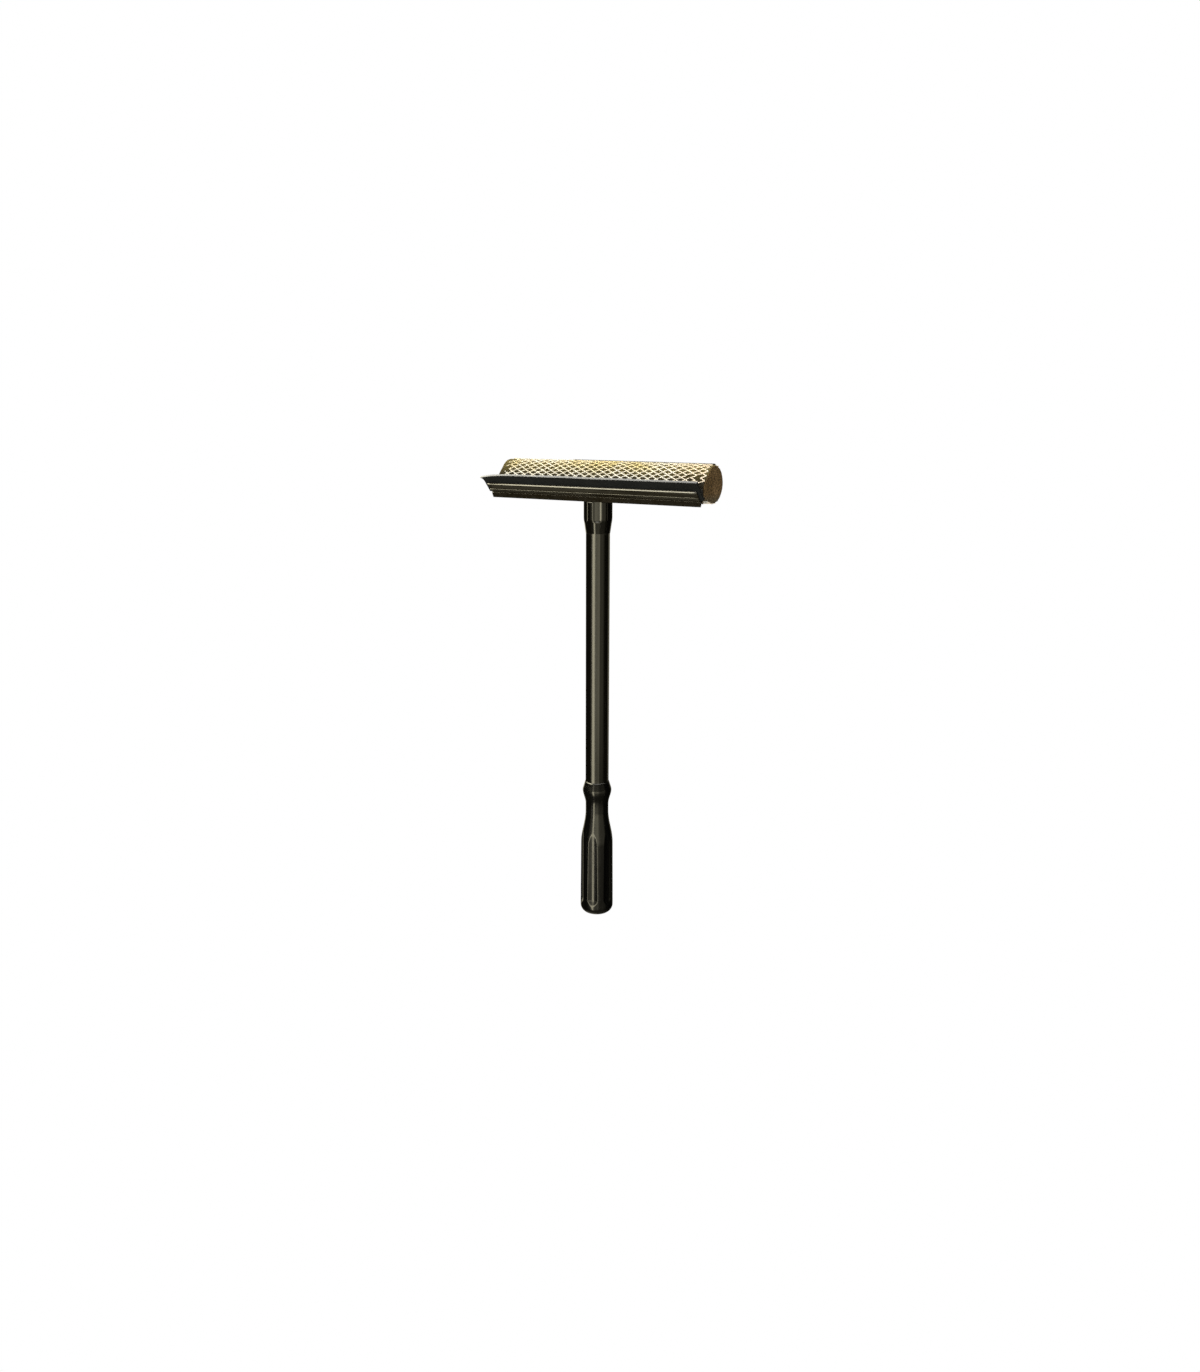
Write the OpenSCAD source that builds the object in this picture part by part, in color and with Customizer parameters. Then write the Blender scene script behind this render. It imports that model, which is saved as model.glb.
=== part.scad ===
// Windscreen squeegee: a rubber wiping blade and a netted scrubbing sponge, held side by side
// in a channel head on a straight handle with a fluted grip.
// +Z runs up the handle from the grip end, X runs along the head, and -Y is the blade side.

/* [Handle] */
// Overall height, from the grip end to the top of the sponge
overall_h = 406.4; // [330:0.1:520]
// Length of the grip, from its end to the top of the guard
grip_l = 125; // [110:1:160]
// Diameter of the grip near its end
grip_d = 29.4; // [24.6:0.1:36]
// How much slimmer the grip's radius is at its shoulder than near its end
grip_slim = 0.4; // [0:0.1:1]
// Diameter of the waist below the guard
waist_d = 20.4; // [17.4:0.1:23]
// Largest diameter of the guard
guard_d = 25.8; // [23:0.1:31]
// Radius of the rounded grip end
grip_end_r = 7.6; // [5:0.1:7.6]
// Number of flutes round the grip
grip_flutes = 6; // [4:1:8]
// Radius of the hollow of a grip flute
flute_r = 14; // [6:0.1:18]
// Depth of a grip flute
flute_depth = 1.6; // [0.6:0.1:2.4]
// Turn of the first grip flute from -Y towards +X, in degrees
flute_turn = 15; // [0:1:59]
// Diameter of the shaft over its rounded corners
shaft_d = 21; // [18:0.1:25]
// Distance across two opposite flats of the shaft
shaft_flats = 20; // [17:0.1:24]
// Diameter of the bore through the shaft
shaft_bore = 11; // [9:0.1:13.4]
// Diameter of the shaft's tang inside the grip
tang_d = 15.4; // [15:0.1:16.4]
// Turn of the shaft's flats from -Y towards +X, in degrees
shaft_turn = 18; // [0:1:44]

/* [Socket] */
// Diameter of the socket's collar
collar_d = 24.6; // [22:0.1:30]
// Length of the straight part of the collar
collar_l = 16; // [12:0.5:24]
// Length of the taper from the shaft to the collar
taper_l = 11; // [6:0.5:16]
// Number of flutes round the collar
collar_flutes = 6; // [4:1:8]
// Radius of the hollow of a collar flute
collar_flute_r = 13; // [4:0.1:16]
// Depth of a collar flute
collar_flute_depth = 1.2; // [0.4:0.1:1.4]
// Turn of the first collar flute from -Y towards +X, in degrees
collar_turn = 27; // [0:1:59]

/* [Channel] */
// Length of the channel, along X
head_w = 203; // [150:1:320]
// Distance of the channel's front bottom edge ahead of the handle axis
band_front = 10; // [9:0.1:12]
// Height of the lower front band
band_h = 4.2; // [3.8:0.1:5]
// How far the lower front band leans forward over its height
band_lean = 2.2; // [1.8:0.1:2.6]
// Thickness of the channel's floor
floor_t = 1.4; // [1:0.1:1.6]
// Length cut off each end of the floor and its lip
floor_inset = 7; // [0:0.5:12]
// Distance of the lip on the floor's rear edge behind the handle axis
lip_y = 4.2; // [3.6:0.1:4.4]
// Thickness of the walls behind the blade and in front of the sponge
wall_t = 1.5; // [1:0.1:1.8]

/* [Blade] */
// Lean of the blade from the vertical, in degrees
blade_tilt = 42; // [36:1:46]
// Length of the rubber blade, along X
blade_l = 209; // [150:1:330]
// Thickness of the rubber blade
blade_t = 2; // [1.6:0.1:2.4]
// Width of the rubber blade, from its root rib to its wiping edge
blade_w = 19.3; // [15:0.1:26]
// Radius of the rib along the blade's root
rib_r = 1.35; // [1.1:0.05:1.5]
// Thickness of the lip of the blade jaw
jaw_t = 1.1; // [0.9:0.05:1.4]
// How far up the blade the jaw reaches
jaw_h = 10.2; // [8:0.1:13]

/* [Sponge] */
// Length of the sponge, along X
sponge_l = 203; // [150:1:320]
// Diameter of the rounded back of the sponge
sponge_d = 32.4; // [27:0.1:39]
// Distance of the sponge's front face ahead of the handle axis
sponge_front = 5.4; // [5:0.1:5.8]
// Height at which the sponge's front face starts to slope back
sponge_front_h = 16.9; // [12:0.1:20]
// Thickness of the net with its strands
net_t = 0.9; // [0.6:0.1:1.2]
// Bare sponge at the left end of the net
net_bare_left = 5; // [1:0.5:8]
// Bare sponge at the right end of the net
net_bare_right = 1; // [1:0.5:8]
// Thickness of the stiff rail inside the sponge's neck
rail_t = 1.4; // [1:0.1:1.8]
// Number of staples that fix the net to the rail
staples = 8; // [3:1:14]

/* [Fits] */
// Gap between the blade and the walls that guide it
blade_gap = 0.12; // [0.05:0.01:0.2]
// Gap between the netted sponge and the channel
soft_gap = 0.3; // [0.2:0.05:0.5]
// Gap round fixed pieces that are pushed together
push_gap = 0.05; // [0.02:0.01:0.1]

/* [Hidden] */
$fn = 64;
past = 1;                       // how far cutters run past a face

grip_r = grip_d / 2;
waist_r = waist_d / 2;
guard_r = guard_d / 2;
shaft_r = shaft_d / 2;
tang_r = tang_d / 2;
collar_r = collar_d / 2;

waist_low = 97.5;               // the waist is a plain cylinder between these two heights
waist_high = 104;
shoulder_l = 30.5;              // the grip swells out below the waist over this length
guard_top_l = 7.2;              // the guard's top slopes in over this length
guard_rim = 0.2;                // how far the guard's top stands out from the shaft
flute_low = grip_end_r + 1;
flute_high = waist_low - 12;
flute_end = 6;                  // length over which a flute runs out

cap_r = 5;
cap_t = 2;
cap_stem_r = 3.6;
cap_stem_l = 12;
tang_low = cap_t + cap_stem_l + 1;
pin_r = 1.5;
pin_z = waist_high + 6;
pin_front = 6;                  // the blind end of the grip pin, ahead of the axis
pin_out = 0.6;                  // the pin ends this far behind the waist, under the guard

sponge_r = sponge_d / 2;
sponge_y = 16.4;                // centre of the sponge's rounded back, from the handle axis
sponge_low = 0.6;               // the sponge's lowest line above the channel's bottom edge
sponge_z = sponge_low + sponge_r;
head_z = overall_h - sponge_z - sponge_r;
socket_low = head_z - collar_l - taper_l;

collar_ease = 1.5;              // the taper turns into the collar over twice this height
collar_flute_end = 3;           // length over which a collar flute runs out

tenon_r = shaft_bore / 2;
tenon_in_shaft = 40;
tenon_in_socket = min(16, collar_l);
screw_r = 1.5;
tenon_screw_z = socket_low + 7;
tenon_screw_seat = 8.6;         // the tenon screw's head sits this far behind the axis
tenon_screw_l = 7;
tenon_head_r = 2.6;
tenon_head_t = 1.4;
head_gap = 0.3;                 // room round the tenon screw's sunk head
socket_screw_x = 6.5;
socket_screw_y = -2;
socket_screw_l = 8;
csk_r = 2.8;                    // countersunk head of a socket screw
slot_l = 3.2;
slot_w = 0.6;
slot_depth = 0.7;

blade_y = -(band_front + band_lean - 0.9);      // where the blade's front face meets its root
blade_z = band_h + 1.5;
rib_t = rib_r + 0.05;           // the rib stands out behind the blade only
rib_s = 0.3;
root_cut = 0.3;                 // the flat strip ends this far above the rib's underside
foot_t = jaw_t - 0.2;           // the jaw's foot is thinner than its lip
foot_s = -2.6;
lip_s = 1.4;                    // the jaw's lip starts here, above the lower band
snap_r = 0.3;
snap_s = -1.9;
jaw_back = -blade_gap;          // the jaw's rear face lies this far from the blade
jaw_front = jaw_back - jaw_t;
foot_front = jaw_back - foot_t;
rest_t = blade_t + blade_gap;   // the front of the wall behind the blade
rest_s = 9.5;
wall_h = 14;
web_h = 9.2;                    // the web between the two walls is filled up to here
web_s = 1;
lip_h = 3.1;
lip_t = 1.4;

neck_z = 2.1;                   // underside of the netted neck
neck_tip = -9;                  // foremost line of the netted neck
neck_rear = lip_y - 0.8;
notch_z = lip_h + 0.5;
notch_lean = 0.5;
slope_turn = 134;               // the front slope meets the rounded back at this angle
slope_sink = 0.4;               // and this far inside it
rail_y = [-5.2, neck_rear - net_t - 0.2];
rail_z = neck_z + net_t;
staple_w = 7;
staple_wire = 0.6;
crown_t = 0.45;
staple_y = -1;
staple_leg = net_t + 0.8 * rail_t;
net_l = sponge_l - net_bare_left - net_bare_right;
net_mid = (net_bare_left - net_bare_right) / 2;

plastic = [0.10, 0.09, 0.07];
steel = [0.62, 0.62, 0.60];

// A section drawn as (y, z), run along X over length l about the middle x0
module along_x(l, x0 = 0) {
    translate([x0 - l / 2, 0, head_z]) rotate([90, 0, 90]) linear_extrude(l) children();
}

// The blade's own frame: first axis towards the sponge, second axis towards the wiping edge
module blade_frame() {
    translate([blade_y, blade_z]) rotate(blade_tilt) children();
}

// The same for one point: t towards the sponge, s towards the wiping edge
function from_blade(t, s) =
    [blade_y + t * cos(blade_tilt) - s * sin(blade_tilt),
     blade_z + t * sin(blade_tilt) + s * cos(blade_tilt)];

// A box in a section, from corner a to corner b
module box(a, b) {
    translate(a) square([b[0] - a[0], b[1] - a[1]]);
}

// Octagonal section with rounded corners
module shaft_section() {
    intersection() {
        circle(r = shaft_r);
        rotate(22.5 + shaft_turn) circle(r = shaft_flats / 2 / cos(22.5), $fn = 8);
    }
}

// Cutter for a ring of flutes that run out at both ends
module flute_ring(count, turn, body_r, r, depth, low, high, end) {
    run_out = r - depth - 0.4;
    for (i = [0 : count - 1])
        rotate(turn - 90 + 360 * i / count) translate([body_r - depth + r, 0, 0])
            rotate_extrude()
                polygon([[0, low], [run_out, low], [r, low + end],
                         [r, high - end], [run_out, high], [0, high]]);
}

// Half a wave from 1 at t = 0 down to 0 at t = 1
function ease(t) = (1 + cos(180 * t)) / 2;

// The grip's outline from its end up to the guard, as (radius, height)
function grip_outline() = concat(
    [[0, 0]],
    [for (a = [0 : 15 : 90])
        [grip_r - grip_end_r * (1 - sin(a)), grip_end_r * (1 - cos(a))]],
    [for (t = [0 : 0.1 : 1])
        [waist_r + (grip_r - grip_slim - waist_r) * ease(t), waist_low - shoulder_l * (1 - t)]],
    [for (t = [0 : 0.125 : 1])
        [guard_r - (guard_r - waist_r) * ease(t),
         waist_high + (grip_l - guard_top_l - waist_high) * t]],
    [[shaft_r + guard_rim, grip_l], [0, grip_l]]);

// A cylinder along +Y from the given place
module rod_back(at, r, h) {
    translate(at) rotate([-90, 0, 0]) cylinder(r = r, h = h);
}

module pin_hole() {
    rod_back([0, -pin_front, pin_z], pin_r, pin_front + guard_r + past);
}

module grip() {
    color(plastic) difference() {
        rotate_extrude() polygon(grip_outline());
        flute_ring(grip_flutes, flute_turn, grip_r, flute_r, flute_depth,
                   flute_low, flute_high, flute_end);
        translate([0, 0, tang_low]) cylinder(r = tang_r + push_gap, h = grip_l);
        translate([0, 0, -past]) cylinder(r = cap_r, h = cap_t + past);
        cylinder(r = cap_stem_r, h = tang_low + past);
        pin_hole();
    }
}

module grip_end_cap() {
    color(plastic) union() {
        cylinder(r = cap_r - push_gap, h = cap_t);
        cylinder(r = cap_stem_r - push_gap, h = cap_t + cap_stem_l);
    }
}

module grip_pin() {
    color(steel) rod_back([0, -pin_front, pin_z], pin_r, pin_front + waist_r + pin_out);
}

module handle_shaft() {
    color(plastic) difference() {
        union() {
            translate([0, 0, grip_l]) linear_extrude(socket_low - grip_l) shaft_section();
            translate([0, 0, tang_low]) cylinder(r = tang_r, h = grip_l - tang_low + past);
        }
        translate([0, 0, tang_low - past])
            cylinder(r = tenon_r, h = socket_low - tang_low + 2 * past);
        pin_hole();
    }
}

module shaft_tenon() {
    color([0.16, 0.15, 0.13]) difference() {
        translate([0, 0, socket_low - tenon_in_shaft])
            cylinder(r = tenon_r - push_gap, h = tenon_in_shaft + tenon_in_socket);
        tenon_screw_hole();
    }
}

module tenon_screw_hole() {
    rod_back([0, tenon_screw_seat - tenon_screw_l, tenon_screw_z], screw_r, tenon_screw_l + past);
}

// Cross slots for a screwdriver in the top of a head at height top
module driver_slots(top) {
    for (a = [0, 90])
        rotate(a) translate([-slot_l / 2, -slot_w / 2, top - slot_depth])
            cube([slot_l, slot_w, slot_depth + past]);
}

module tenon_screw() {
    color(steel) translate([0, tenon_screw_seat, tenon_screw_z]) rotate([-90, 0, 0])
        difference() {
            union() {
                cylinder(r = tenon_head_r, h = tenon_head_t);
                translate([0, 0, -tenon_screw_l]) cylinder(r = screw_r, h = tenon_screw_l + past);
            }
            driver_slots(tenon_head_t);
        }
}

module at_socket_screws() {
    for (side = [-1, 1])
        translate([side * socket_screw_x, socket_screw_y, head_z]) children();
}

module handle_socket() {
    color(plastic) difference() {
        rotate_extrude()
            polygon([[0, socket_low], [shaft_r, socket_low],
                     [collar_r - collar_ease / 3, socket_low + taper_l - collar_ease],
                     [collar_r, socket_low + taper_l + collar_ease],
                     [collar_r, head_z], [0, head_z]]);
        flute_ring(collar_flutes, collar_turn, collar_r, collar_flute_r, collar_flute_depth,
                   socket_low + taper_l - collar_flute_end, head_z + collar_flute_end,
                   collar_flute_end);
        translate([0, 0, socket_low - past])
            cylinder(r = tenon_r, h = tenon_in_socket + 2 * past);
        tenon_screw_hole();
        rod_back([0, tenon_screw_seat, tenon_screw_z], tenon_head_r + head_gap, collar_r);
        at_socket_screws() translate([0, 0, -socket_screw_l])
            cylinder(r = screw_r, h = socket_screw_l + past);
    }
}

module socket_screws() {
    color(steel) at_socket_screws() difference() {
        union() {
            cylinder(r1 = screw_r, r2 = csk_r, h = floor_t);
            translate([0, 0, -socket_screw_l]) cylinder(r = screw_r, h = socket_screw_l + 0.1);
        }
        driver_slots(floor_t);
    }
}

// The netted sponge over length l about the middle x0, drawn in by d all round:
// a rounded back, and a wedge in front of it that ends in the neck held by the channel
module soft_solid(l, x0, d) {
    back_r = sponge_r - d;
    front = -sponge_front + d;
    along_x(l, x0) translate([sponge_y, sponge_z]) circle(r = back_r);
    along_x(l, x0)
        polygon([[neck_tip + d * (1 + sqrt(2)), neck_z + d],
                 [front, neck_z + front - neck_tip - d * sqrt(2)],
                 [front, sponge_front_h],
                 [sponge_y + (back_r - slope_sink) * cos(slope_turn),
                  sponge_z + (back_r - slope_sink) * sin(slope_turn)],
                 [sponge_y, sponge_z],
                 [sponge_y - sponge_r / 3, notch_z + d],
                 [neck_rear - d + notch_lean, notch_z + d],
                 [neck_rear - d, neck_z + d]]);
}

// Everything solid in the channel's section before the blade's slot is cut
module bar_outline() {
    corner = neck_z + (-sponge_front - neck_tip) + soft_gap * (sqrt(2) - 1);
    tip = neck_tip - soft_gap * (1 + sqrt(2));
    wall_y = -sponge_front - soft_gap;
    polygon([[-band_front, 0], [-band_front - band_lean, band_h],
             from_blade(rest_t + wall_t, web_s), [wall_y, web_h],
             [wall_y, corner], [tip, neck_z - soft_gap], [tip, 0]]);
    box([wall_y - wall_t, corner], [wall_y, wall_h]);
    blade_frame() box([rest_t, 0], [rest_t + wall_t, rest_s]);
}

module blade_slot() {
    blade_frame() {
        box([foot_front - push_gap, foot_s - push_gap], [0, blade_w]);
        box([-past, rib_s - rib_r], [rest_t, blade_w]);
        translate([rib_t, rib_s]) circle(r = rib_r + blade_gap);
        translate([foot_front, snap_s]) circle(r = snap_r + push_gap);
    }
}

module channel_bar() {
    color(plastic) difference() {
        union() {
            along_x(head_w) difference() {
                bar_outline();
                blade_slot();
            }
            along_x(head_w - 2 * floor_inset) {
                box([-band_front, 0], [lip_y + lip_t, floor_t]);
                box([lip_y, 0], [lip_y + lip_t, lip_h]);
            }
        }
        at_socket_screws() {
            cylinder(r1 = screw_r, r2 = csk_r, h = floor_t);
            translate([0, 0, -past]) cylinder(r = screw_r, h = 2 * past);
            translate([0, 0, floor_t]) cylinder(r = csk_r, h = past);
        }
    }
}

module blade_jaw() {
    color(plastic) along_x(head_w) blade_frame() {
        box([jaw_front, lip_s], [jaw_back, jaw_h]);
        box([foot_front, foot_s], [jaw_back, lip_s + past]);
        translate([foot_front, snap_s]) circle(r = snap_r);
    }
}

module rubber_blade() {
    color([0.16, 0.17, 0.18]) along_x(blade_l) blade_frame() {
        box([0, rib_s - rib_r + root_cut], [blade_t, blade_w]);
        translate([rib_t, rib_s]) circle(r = rib_r);
    }
}

// The rail's section, and with drop the room down to below the neck
module rail_outline(drop = 0) {
    box([rail_y[0], rail_z - drop], [rail_y[1], rail_z + rail_t]);
}

module sponge_core() {
    color([0.45, 0.40, 0.28]) difference() {
        soft_solid(sponge_l, 0, net_t);
        along_x(sponge_l + 2 * past) rail_outline(past);
    }
}

// Positions of the staples along the rail
function staple_places() = [for (i = [0 : staples - 1])
    net_mid + net_l * ((i + 0.5) / staples - 0.5)];

// The staples' legs with room g round them, from drop below the neck upwards
module staple_legs(g, drop) {
    wide = staple_wire + 2 * g;
    for (x = staple_places(), side = [-1, 1])
        translate([x + side * (staple_w - staple_wire) / 2 - wide / 2, staple_y - wide / 2,
                   head_z + neck_z - drop])
            cube([wide, wide, drop + staple_leg + g]);
}

module sponge_rail() {
    color([0.75, 0.74, 0.70]) difference() {
        along_x(sponge_l) rail_outline();
        staple_legs(push_gap, past);
    }
}

module net_cover() {
    color([0.93, 0.89, 0.76]) difference() {
        soft_solid(net_l, net_mid, 0);
        soft_solid(net_l + 2 * past, net_mid, net_t);
        staple_legs(push_gap, past);
    }
}

module net_staples() {
    color(steel) {
        for (x = staple_places())
            translate([x - staple_w / 2, staple_y - staple_wire / 2, head_z + neck_z - crown_t])
                cube([staple_w, staple_wire, crown_t]);
        staple_legs(0, crown_t);
    }
}

grip();
grip_end_cap();
grip_pin();
handle_shaft();
shaft_tenon();
handle_socket();
tenon_screw();
socket_screws();
channel_bar();
blade_jaw();
rubber_blade();
sponge_core();
sponge_rail();
net_cover();
net_staples();
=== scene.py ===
"""Looks of a windscreen squeegee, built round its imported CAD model.

Lengths in this script are in millimetres until a mesh is made, where they become metres.
+Z runs up the handle, X along the head, and -Y is the blade side.
"""
import math
import random

import bmesh
import bpy
import numpy as np
from mathutils import Matrix, Vector, geometry, noise


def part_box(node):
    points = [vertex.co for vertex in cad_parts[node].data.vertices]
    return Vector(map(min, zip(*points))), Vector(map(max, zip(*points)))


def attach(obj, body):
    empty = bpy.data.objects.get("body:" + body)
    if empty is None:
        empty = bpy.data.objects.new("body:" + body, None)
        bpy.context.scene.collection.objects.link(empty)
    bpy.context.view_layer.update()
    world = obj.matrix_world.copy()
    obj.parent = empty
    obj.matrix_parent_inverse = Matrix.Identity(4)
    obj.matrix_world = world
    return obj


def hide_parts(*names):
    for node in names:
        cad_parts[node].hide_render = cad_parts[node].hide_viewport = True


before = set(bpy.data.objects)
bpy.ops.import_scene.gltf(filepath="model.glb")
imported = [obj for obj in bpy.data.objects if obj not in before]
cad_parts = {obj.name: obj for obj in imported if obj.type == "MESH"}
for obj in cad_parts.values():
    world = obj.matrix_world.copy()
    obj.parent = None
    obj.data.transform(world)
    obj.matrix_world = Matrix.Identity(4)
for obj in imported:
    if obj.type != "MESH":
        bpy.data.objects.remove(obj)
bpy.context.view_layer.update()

MM = 0.001
WHOLE_TURN = 2 * math.pi


def node_box(node):
    """A CAD node's lowest and highest corner, in millimetres."""
    return [np.array(corner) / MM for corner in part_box(node)]


# ---------------------------------------------------------------- camera
CAMERA_AZIMUTH = math.radians(30.28)
CAMERA_ELEVATION = math.radians(13.03)
CAMERA_ROLL = math.radians(0.234)
CAMERA_DISTANCE = 1.0741
CAMERA_LENS_MM = 32.0
AIM_SIDEWAYS = 0.00225
AIM_HEIGHT = 0.2120


def make_camera():
    side = Vector((math.cos(CAMERA_AZIMUTH), math.sin(CAMERA_AZIMUTH), 0))
    back = Vector((math.sin(CAMERA_AZIMUTH) * math.cos(CAMERA_ELEVATION),
                   -math.cos(CAMERA_AZIMUTH) * math.cos(CAMERA_ELEVATION),
                   math.sin(CAMERA_ELEVATION)))
    up = back.cross(side)
    right = side * math.cos(CAMERA_ROLL) + up * math.sin(CAMERA_ROLL)
    up = back.cross(right)
    data = bpy.data.cameras.new("camera")
    data.lens = CAMERA_LENS_MM
    data.sensor_width = 36
    data.clip_start, data.clip_end = 0.05, 50
    camera = bpy.data.objects.new("camera", data)
    aim = side * AIM_SIDEWAYS + Vector((0, 0, AIM_HEIGHT))
    turn = Matrix((right, up, back)).transposed().to_4x4()
    camera.matrix_world = Matrix.Translation(aim + back * CAMERA_DISTANCE) @ turn
    bpy.context.scene.collection.objects.link(camera)
    bpy.context.scene.camera = camera


# ---------------------------------------------------------------- shader nodes
class Nodes:
    """A node tree with short calls for making and joining nodes."""

    def __init__(self, owner):
        owner.use_nodes = True
        self.tree = owner.node_tree
        self.tree.nodes.clear()

    def add(self, kind, inputs=None, **settings):
        node = self.tree.nodes.new(kind)
        for key, value in settings.items():
            setattr(node, key, value)
        for key, value in (inputs or {}).items():
            if isinstance(value, bpy.types.NodeSocket):
                self.tree.links.new(value, node.inputs[key])
            else:
                node.inputs[key].default_value = value
        return node

    def math(self, operation, a, b=0.0, clamp=False):
        return self.add("ShaderNodeMath", {0: a, 1: b}, operation=operation,
                        use_clamp=clamp).outputs[0]

    def mix(self, share, a, b):
        node = self.add("ShaderNodeMix", data_type="RGBA")
        for socket, value in ((node.inputs[0], share), (node.inputs[6], a), (node.inputs[7], b)):
            if isinstance(value, bpy.types.NodeSocket):
                self.tree.links.new(value, socket)
            else:
                socket.default_value = value if socket.type == "VALUE" else (*value, 1)
        return node.outputs[2]

    def ramp(self, value, stops):
        """A linear colour ramp. stops are (place, grey or colour)."""
        node = self.add("ShaderNodeValToRGB", {0: value})
        ramp = node.color_ramp
        while len(ramp.elements) < len(stops):
            ramp.elements.new(1)
        for element, (place, colour) in zip(ramp.elements, stops):
            element.position = place
            if not hasattr(colour, "__len__"):
                colour = (colour,) * 3
            element.color = (*colour, 1)
        return node.outputs[0]

    def span(self, value, low, high, to_low=0.0, to_high=1.0):
        """value from low..high carried over to to_low..to_high, and held at both ends."""
        return self.add("ShaderNodeMapRange",
                        {0: value, 1: low, 2: high, 3: to_low, 4: to_high}).outputs[0]

    def place(self, scale=(1, 1, 1)):
        """Object coordinates, times scale."""
        coordinates = self.add("ShaderNodeTexCoord").outputs["Object"]
        return self.add("ShaderNodeMapping", {"Vector": coordinates, "Scale": scale}).outputs[0]

    def noise(self, vector, scale, detail=3.0, roughness=0.5, distortion=0.0):
        return self.add("ShaderNodeTexNoise",
                        {"Vector": vector, "Scale": scale, "Detail": detail,
                         "Roughness": roughness, "Distortion": distortion}).outputs[0]

    def cells(self, vector, scale):
        """Distance to the middle of the nearest cell."""
        return self.add("ShaderNodeTexVoronoi",
                        {"Vector": vector, "Scale": scale}).outputs["Distance"]

    def bump(self, height, depth_mm, strength=1.0, under=None):
        inputs = {"Height": height, "Distance": depth_mm * MM, "Strength": strength}
        if under is not None:
            inputs["Normal"] = under
        return self.add("ShaderNodeBump", inputs).outputs[0]


def finish_material(name, build, **constants):
    """A material on one Principled shader. build(nodes) gives its linked sockets by name."""
    material = bpy.data.materials.new(name)
    nodes = Nodes(material)
    inputs = {key.replace("_", " "): value for key, value in constants.items()}
    inputs.update(build(nodes))
    shader = nodes.add("ShaderNodeBsdfPrincipled", inputs)
    nodes.add("ShaderNodeOutputMaterial", {"Surface": shader.outputs[0]})
    return material


def moulded_plastic(name, dark, light, gloss, dull, grain_depth=0.01):
    """Black moulded plastic: faint mottling, fine scuffs, edges rubbed a little lighter."""
    def build(n):
        where = n.place()
        mottling = n.noise(where, 55, 4, 0.6)
        streaks = n.noise(n.place((900, 900, 22)), 1, 2, 0.6)
        scuffs = n.span(streaks, 0.64, 0.74)
        specks = n.span(n.noise(where, 2600, 2, 0.7), 0.66, 0.76)
        edges = n.span(n.add("ShaderNodeNewGeometry").outputs["Pointiness"], 0.515, 0.58)
        worn = n.math("MULTIPLY", edges, n.span(n.noise(where, 240, 3, 0.7), 0.4, 0.7))
        colour = n.mix(mottling, dark, light)
        colour = n.mix(n.math("MULTIPLY", scuffs, 0.25), colour, (0.030, 0.028, 0.022))
        colour = n.mix(n.math("MULTIPLY", specks, 0.20), colour, (0.050, 0.046, 0.036))
        colour = n.mix(n.math("MULTIPLY", worn, 0.4), colour, (0.045, 0.041, 0.032))
        rough = n.span(n.noise(where, 130, 5, 0.65), 0.3, 0.7, gloss, dull)
        rough = n.math("ADD", rough, n.math("MULTIPLY", scuffs, 0.14), clamp=True)
        peel = n.bump(n.noise(where, 750, 2, 0.5), grain_depth)
        grain = n.bump(streaks, 0.004, 0.6, under=peel)
        return {"Base Color": colour, "Roughness": rough, "Normal": grain}
    return finish_material(name, build, Specular_IOR_Level=0.5, IOR=1.5)


def rubber(name, dark, light, gloss, dull):
    """Extruded rubber: fine lines along X, a dusty bloom and tiny pits."""
    def build(n):
        where = n.place()
        lines = n.noise(n.place((14, 1500, 1500)), 1, 3, 0.6)
        bloom = n.noise(where, 38, 5, 0.65, 0.4)
        dust = n.span(n.noise(where, 1900, 3, 0.75), 0.62, 0.74)
        colour = n.mix(n.span(bloom, 0.3, 0.72), dark, light)
        colour = n.mix(n.math("MULTIPLY", dust, 0.3), colour, (0.11, 0.11, 0.10))
        rough = n.span(bloom, 0.3, 0.7, gloss, dull)
        fine = n.bump(n.noise(where, 3200, 2, 0.6), 0.012)
        return {"Base Color": colour, "Roughness": rough,
                "Normal": n.bump(lines, 0.02, 0.7, under=fine)}
    return finish_material(name, build, Specular_IOR_Level=0.3)


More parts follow.
